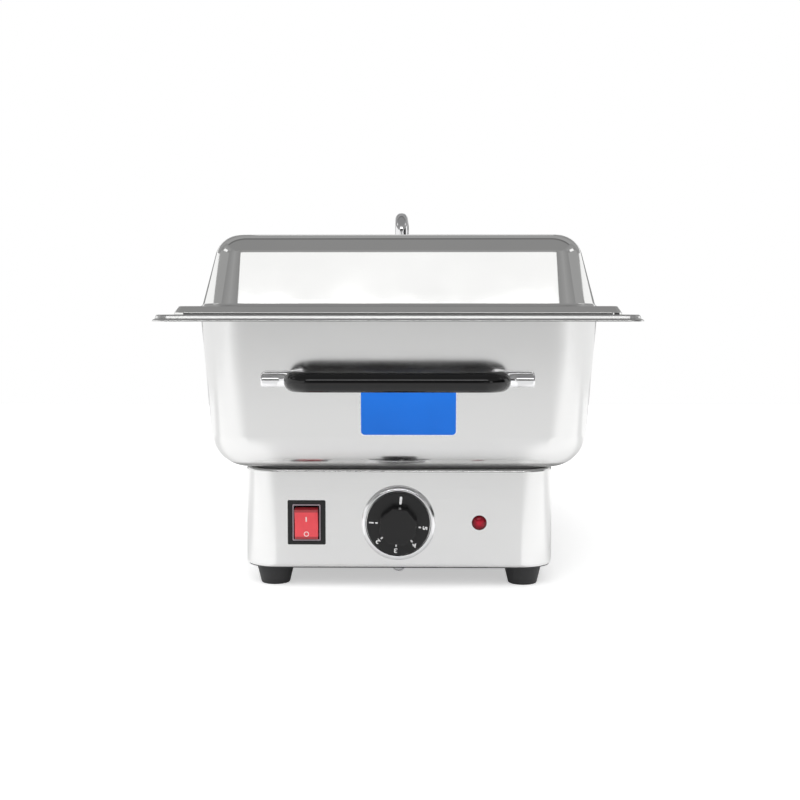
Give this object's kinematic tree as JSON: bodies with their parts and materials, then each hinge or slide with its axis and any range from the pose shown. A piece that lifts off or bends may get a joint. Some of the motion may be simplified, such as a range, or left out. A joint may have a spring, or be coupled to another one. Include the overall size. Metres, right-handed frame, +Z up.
{
  "type": "electric chafing dish",
  "caption": "Electric chafing dish: heated water pan on a control base with thermostat knob, rocker switch and pilot lamp, lift-out food pan and lift-off domed lid.",
  "frame": {"origin": "on the table under the middle of the dish, at the foot level", "axes": "+X to the right seen from the control panel, +Y from the panel to the back, +Z up"},
  "size_m": [0.3622, 0.5934, 0.3042],
  "materials": {
    "pan_steel": "polished stainless steel",
    "food_steel": "satin stainless steel",
    "lid_steel": "mirror polished stainless steel",
    "base_steel": "satin stainless steel",
    "cover_steel": "dark grey sheet",
    "rod_steel": "polished rod",
    "bezel_chrome": "bright plated",
    "grip_black": "glossy moulded sleeve",
    "foot_rubber": "moulded rubber",
    "seal_rubber": "silicone rubber",
    "fastener_steel": "zinc plated",
    "shield_steel": "galvanised sheet",
    "spreader_aluminium": "mill finish",
    "element_steel": "heat-darkened sheath",
    "insulation_mat": "ceramic fibre mat",
    "cutout_case": "unglazed ceramic",
    "brass": "plain",
    "thermostat_case": "moulded case",
    "knob_black": "satin moulded",
    "switch_black": "moulded",
    "rocker_red": "clear red moulding",
    "lamp_red": "clear dark red lens",
    "lamp_case": "moulded",
    "gland_black": "moulded nylon",
    "lead_brown": "silicone insulation",
    "lead_blue": "silicone insulation",
    "lead_green": "silicone insulation",
    "plate_blue": "blue printed plate, left bare"
  },
  "bodies": {
    "base": {"base_shell": "base_steel", "bottom_cover": "cover_steel", "bottom_screws": "fastener_steel", "foot_front_left": "foot_rubber", "foot_front_right": "foot_rubber", "foot_rear_left": "foot_rubber", "foot_rear_right": "foot_rubber", "foot_screws": "fastener_steel", "foot_nuts": "fastener_steel", "pan_gasket": "seal_rubber", "water_pan": "pan_steel", "pan_studs": "fastener_steel", "flange_nuts": "fastener_steel", "clamp_nuts": "fastener_steel", "shield_nuts": "fastener_steel", "heat_spreader": "spreader_aluminium", "heating_element": "element_steel", "element_clamps": "fastener_steel", "insulation_pad": "insulation_mat", "heat_shield": "shield_steel", "thermal_cutout": "cutout_case", "sensor_bulb": "brass", "bulb_clip": "fastener_steel", "spreader_screws": "fastener_steel", "thermostat_body": "thermostat_case", "thermostat_tabs": "brass", "thermostat_screws": "fastener_steel", "dial_bezel": "bezel_chrome", "switch_housing": "switch_black", "switch_terminals": "brass", "pilot_lens": "lamp_red", "pilot_body": "lamp_case", "pilot_clip": "fastener_steel", "cable_gland": "gland_black", "gland_cap": "gland_black", "gland_locknut": "gland_black", "terminal_block": "cutout_case", "terminal_screws": "brass", "earth_stud": "brass", "earth_nut": "brass", "live_leads": "lead_brown", "neutral_leads": "lead_blue", "earth_lead": "lead_green", "front_handle_rod": "rod_steel", "front_handle_grip": "grip_black", "rear_handle_rod": "rod_steel", "rear_handle_grip": "grip_black", "name_plate": "plate_blue"},
    "food_pan": {"food_pan": "food_steel"},
    "lid": {"lid_cover": "lid_steel", "lid_handle": "rod_steel", "lid_washers": "seal_rubber", "lid_nuts": "fastener_steel"},
    "knob": {"control_knob": "knob_black", "thermostat_shaft": "fastener_steel"},
    "rocker": {"switch_rocker": "rocker_red"}
  },
  "joints": [
    {"name": "pan_lift", "type": "slide", "parent": "base", "child": "food_pan", "axis": [0, 0, 1], "range_m": [0, 0.12]},
    {"name": "lid_lift", "type": "slide", "parent": "food_pan", "child": "lid", "axis": [0, 0, 1], "range_m": [0, 0.15]},
    {"name": "knob_turn", "type": "hinge", "parent": "base", "child": "knob", "pos_m": [0, -0.223, 0.0515], "axis": [0, 1, 0], "range_deg": [0, 270]},
    {"name": "rocker_tilt", "type": "hinge", "parent": "base", "child": "rocker", "pos_m": [-0.0717, -0.219, 0.0515], "axis": [-1, 0, 0], "range_deg": [0, 16]}
  ]
}
